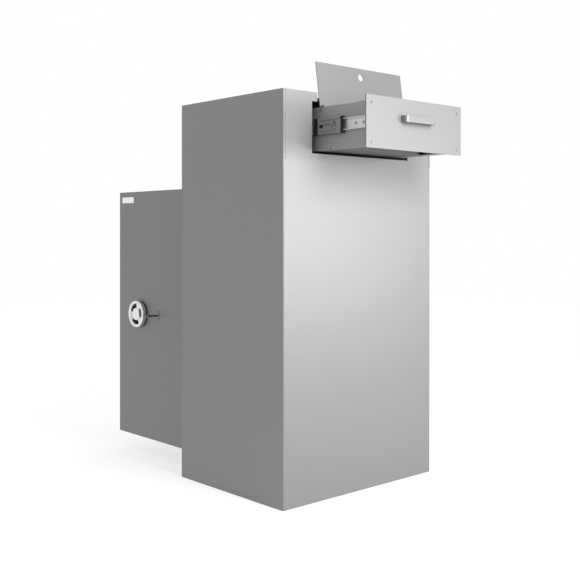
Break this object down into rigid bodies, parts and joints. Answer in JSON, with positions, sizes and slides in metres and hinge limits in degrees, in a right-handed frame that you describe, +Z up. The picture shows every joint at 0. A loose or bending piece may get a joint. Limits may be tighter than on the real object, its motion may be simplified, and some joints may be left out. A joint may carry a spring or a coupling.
{
  "type": "drop safe with deposit drawer",
  "caption": "Upright steel drop safe with a lidded deposit drawer on ball slides at the top front and a key-locked rear door with a round knob.",
  "frame": {"origin": "centre of the underside of the base plate", "axes": "+Z up, -Y out of the front with the drawer, +Y out of the back with the door, +X to the right seen from the front"},
  "size_m": [0.54, 1.021, 1.0778],
  "materials": {
    "body_paint": "satin",
    "front_paint": "satin",
    "door_paint": "satin",
    "lid_paint": "satin",
    "brushed_panel": "fine brushed",
    "chrome": "polished",
    "zinc_steel": "zinc plated",
    "lock_steel": "machined",
    "black_plastic": "moulded",
    "key_steel": "worn nickel",
    "blank_plate": "matt white"
  },
  "bodies": {
    "cabinet": {"side_left": "body_paint", "side_right": "body_paint", "front_plate": "front_paint", "top_plate": "body_paint", "base_plate": "body_paint", "rear_head": "body_paint", "rear_sill": "body_paint", "hinge_jamb": "body_paint", "lock_jamb": "body_paint", "strike_bar": "lock_steel", "bay_floor": "body_paint", "bay_back": "body_paint", "chute_rear": "body_paint", "chute_comb": "body_paint", "slide_bracket_left": "body_paint", "slide_bracket_right": "body_paint", "slide_outer_left": "zinc_steel", "slide_outer_right": "zinc_steel", "bracket_screws": "zinc_steel", "hinge_bracket_top": "zinc_steel", "hinge_bracket_bottom": "zinc_steel", "hinge_pins": "zinc_steel"},
    "slide_middle": {"slide_middle_left": "zinc_steel", "slide_middle_right": "zinc_steel", "ball_cages": "zinc_steel", "slide_bumpers": "black_plastic"},
    "drawer": {"drawer_panel": "brushed_panel", "drawer_front": "body_paint", "drawer_side_left": "body_paint", "drawer_side_right": "body_paint", "drawer_back": "body_paint", "drawer_floor": "body_paint", "drawer_cover": "body_paint", "panel_screws": "chrome", "pull_handle": "chrome", "handle_screws": "zinc_steel", "slide_inner_left": "zinc_steel", "slide_inner_right": "zinc_steel", "slide_screws": "zinc_steel", "trap_pin": "zinc_steel", "trap_springs": "zinc_steel"},
    "lid": {"lid": "lid_paint", "lid_pins": "zinc_steel"},
    "trap": {"trap_door": "body_paint"},
    "door": {"door_plate": "door_paint", "pan_cover": "door_paint", "pan_walls": "door_paint", "dog_bar": "lock_steel", "bolt_guides": "lock_steel", "lock_case": "lock_steel", "keyhole_plate": "door_paint", "name_plate": "blank_plate", "spindle_bush": "chrome"},
    "knob": {"knob": "chrome", "spindle": "lock_steel", "crank": "lock_steel"},
    "boltwork": {"bolt_bar": "lock_steel", "lock_bolts": "lock_steel"},
    "key_bolt": {"key_bolt": "lock_steel"},
    "key": {"key": "key_steel"}
  },
  "joints": [
    {"name": "drawer_slide", "type": "slide", "parent": "cabinet", "child": "drawer", "axis": [0, -1, 0], "range_m": [-0.1785, 0]},
    {"name": "middle_slide", "type": "slide", "parent": "cabinet", "child": "slide_middle", "axis": [0, -1, 0], "range_m": [-0.108, 0]},
    {"name": "lid_fold", "type": "hinge", "parent": "drawer", "child": "lid", "pos_m": [0, -0.2215, 0.95605], "axis": [1, 0, 0], "range_deg": [0, 98.2]},
    {"name": "trap_drop", "type": "hinge", "parent": "drawer", "child": "trap", "pos_m": [0, -0.2555, 0.862], "axis": [1, 0, 0], "range_deg": [0, 72], "stiffness_Nm_per_rad": 0.5, "springref_deg": -57.3},
    {"name": "door_swing", "type": "hinge", "parent": "cabinet", "child": "door", "pos_m": [-0.203, 0.199, 0.416], "axis": [0, 0, 1], "range_deg": [-90, 15]},
    {"name": "knob_turn", "type": "hinge", "parent": "door", "child": "knob", "pos_m": [-0.21, 0.504, 0.416], "axis": [-1, 0, 0], "range_deg": [0, 90]},
    {"name": "bolt_throw", "type": "slide", "parent": "door", "child": "boltwork", "axis": [0, 1, 0], "range_m": [0, 0.0221]},
    {"name": "key_turn", "type": "hinge", "parent": "door", "child": "key", "pos_m": [-0.21, 0.417, 0.416], "axis": [-1, 0, 0], "range_deg": [0, 90]},
    {"name": "key_bolt_throw", "type": "slide", "parent": "door", "child": "key_bolt", "axis": [1, 0, 0], "range_m": [0, 0.0081]}
  ],
  "couplings": [
    {"joint": "middle_slide", "follows": "drawer_slide", "ratio": 0.60224},
    {"joint": "lid_fold", "follows": "drawer_slide", "rad_per_m": -9.5822},
    {"joint": "bolt_throw", "follows": "knob_turn", "m_per_rad": 0.014006},
    {"joint": "key_bolt_throw", "follows": "key_turn", "m_per_rad": 0.005093}
  ]
}
